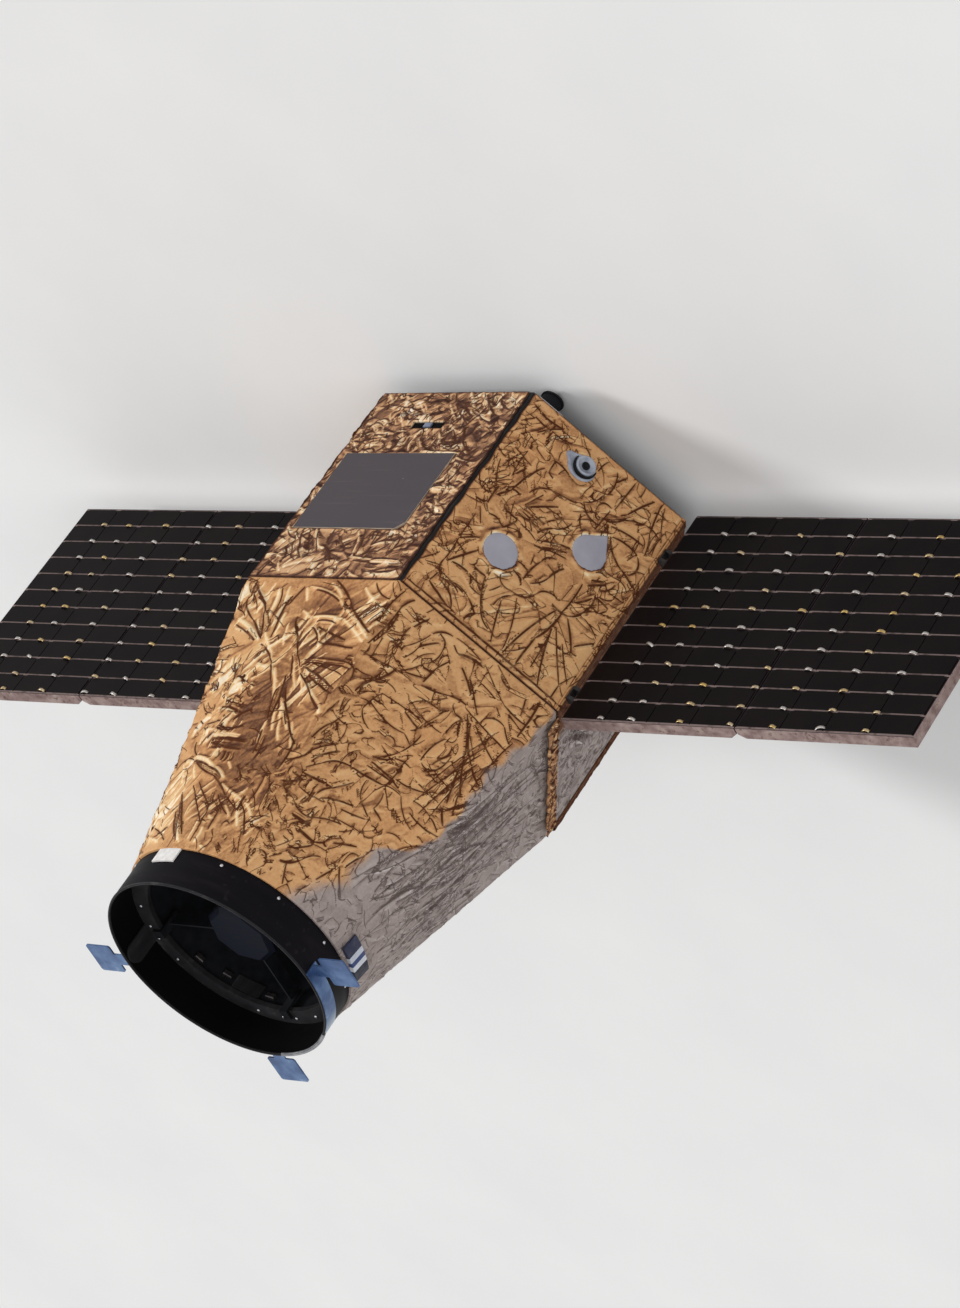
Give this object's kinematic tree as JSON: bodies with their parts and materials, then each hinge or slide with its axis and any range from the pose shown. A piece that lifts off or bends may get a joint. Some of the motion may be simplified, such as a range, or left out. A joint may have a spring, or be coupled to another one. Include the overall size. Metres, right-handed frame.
{
  "type": "small earth imaging satellite",
  "caption": "Foil-wrapped satellite with a hexagonal body, a telescope in a tapered shroud, and folding solar wings; stands on its separation ring.",
  "frame": {"origin": "centre of the separation ring's lower face, on the axis of the telescope", "axes": "+Z along the telescope's line of sight, -Y the side that the solar cells face, +X along one wing"},
  "size_m": [1.9, 0.5231, 0.998],
  "materials": {
    "bare_aluminium": "machined, lightly anodised",
    "foil_gold": "crinkled amber polyimide film, metallised behind",
    "foil_brown": "folded edge of the amber film",
    "foil_silver": "crinkled film that shows silver-grey",
    "radiator_grey": "matt dark grey-violet radiator paint",
    "connector_grey": "moulded connector",
    "patch_white": "pale lavender-grey paint",
    "sensor_white": "pale satin paint",
    "baffle_black": "matt black optical paint",
    "ledge_grey": "dark grey anodised metal",
    "hub_metal": "blue-grey satin metal",
    "mirror_coating": "polished mirror coating",
    "tape_white": "white tape and clip",
    "ear_metal": "blue-tinted polished sheet",
    "panel_edge": "carbon and film skins with a pink-grey edge",
    "solar_cell": "near-black cells under cover glass"
  },
  "bodies": {
    "bus": {"separation_ring": "bare_aluminium", "aft_deck": "bare_aluminium", "front_deck": "bare_aluminium", "avionics_block": "bare_aluminium", "corner_strips": "foil_brown", "front_lip": "foil_brown", "radiator": "radiator_grey", "slot_plug": "connector_grey", "patch_discs": "patch_white", "sensor_plate": "patch_white", "sensor_barrel": "sensor_white", "tracker_base": "bare_aluminium", "tracker_hood": "baffle_black", "shroud": "foil_gold", "telescope_tube": "baffle_black", "ledge_ring": "ledge_grey", "baffle_ring": "baffle_black", "spider": "baffle_black", "secondary_hub": "hub_metal", "secondary_mirror": "mirror_coating", "primary_mirror": "mirror_coating", "mirror_cell": "bare_aluminium", "central_baffle": "baffle_black", "rim_straps": "ledge_grey", "top_clip": "tape_white", "ear_left": "ear_metal", "ear_right": "ear_metal", "ear_rear": "ear_metal", "root_brackets_left": "bare_aluminium", "root_brackets_right": "bare_aluminium", "side_panel_a": "bare_aluminium", "cover_a": "foil_gold", "side_panel_b": "bare_aluminium", "cover_b": "foil_gold", "side_panel_c": "bare_aluminium", "cover_c": "foil_silver", "side_panel_d": "bare_aluminium", "cover_d": "foil_silver", "side_panel_e": "bare_aluminium", "cover_e": "foil_gold", "side_panel_f": "bare_aluminium", "cover_f": "foil_gold"},
    "wing_inner_left": {"inner_panel_left": "panel_edge", "inner_cells_left": "solar_cell", "root_leaves_left": "bare_aluminium", "fold_inner_leaves_left": "bare_aluminium"},
    "wing_outer_left": {"outer_panel_left": "panel_edge", "outer_cells_left": "solar_cell", "fold_outer_leaves_left": "bare_aluminium"},
    "wing_inner_right": {"inner_panel_right": "panel_edge", "inner_cells_right": "solar_cell", "root_leaves_right": "bare_aluminium", "fold_inner_leaves_right": "bare_aluminium"},
    "wing_outer_right": {"outer_panel_right": "panel_edge", "outer_cells_right": "solar_cell", "fold_outer_leaves_right": "bare_aluminium"}
  },
  "joints": [
    {"name": "wing_root_left", "type": "hinge", "parent": "bus", "child": "wing_inner_left", "pos_m": [0.32, 0.014, 0.272], "axis": [0, 0, 1], "range_deg": [0, 120]},
    {"name": "panel_fold_left", "type": "hinge", "parent": "wing_inner_left", "child": "wing_outer_left", "pos_m": [0.648, 0.0042, 0.272], "axis": [0, 0, 1], "range_deg": [0, 180]},
    {"name": "wing_root_right", "type": "hinge", "parent": "bus", "child": "wing_inner_right", "pos_m": [-0.32, 0.014, 0.272], "axis": [0, 0, -1], "range_deg": [0, 120]},
    {"name": "panel_fold_right", "type": "hinge", "parent": "wing_inner_right", "child": "wing_outer_right", "pos_m": [-0.648, 0.0042, 0.272], "axis": [0, 0, -1], "range_deg": [0, 180]}
  ]
}
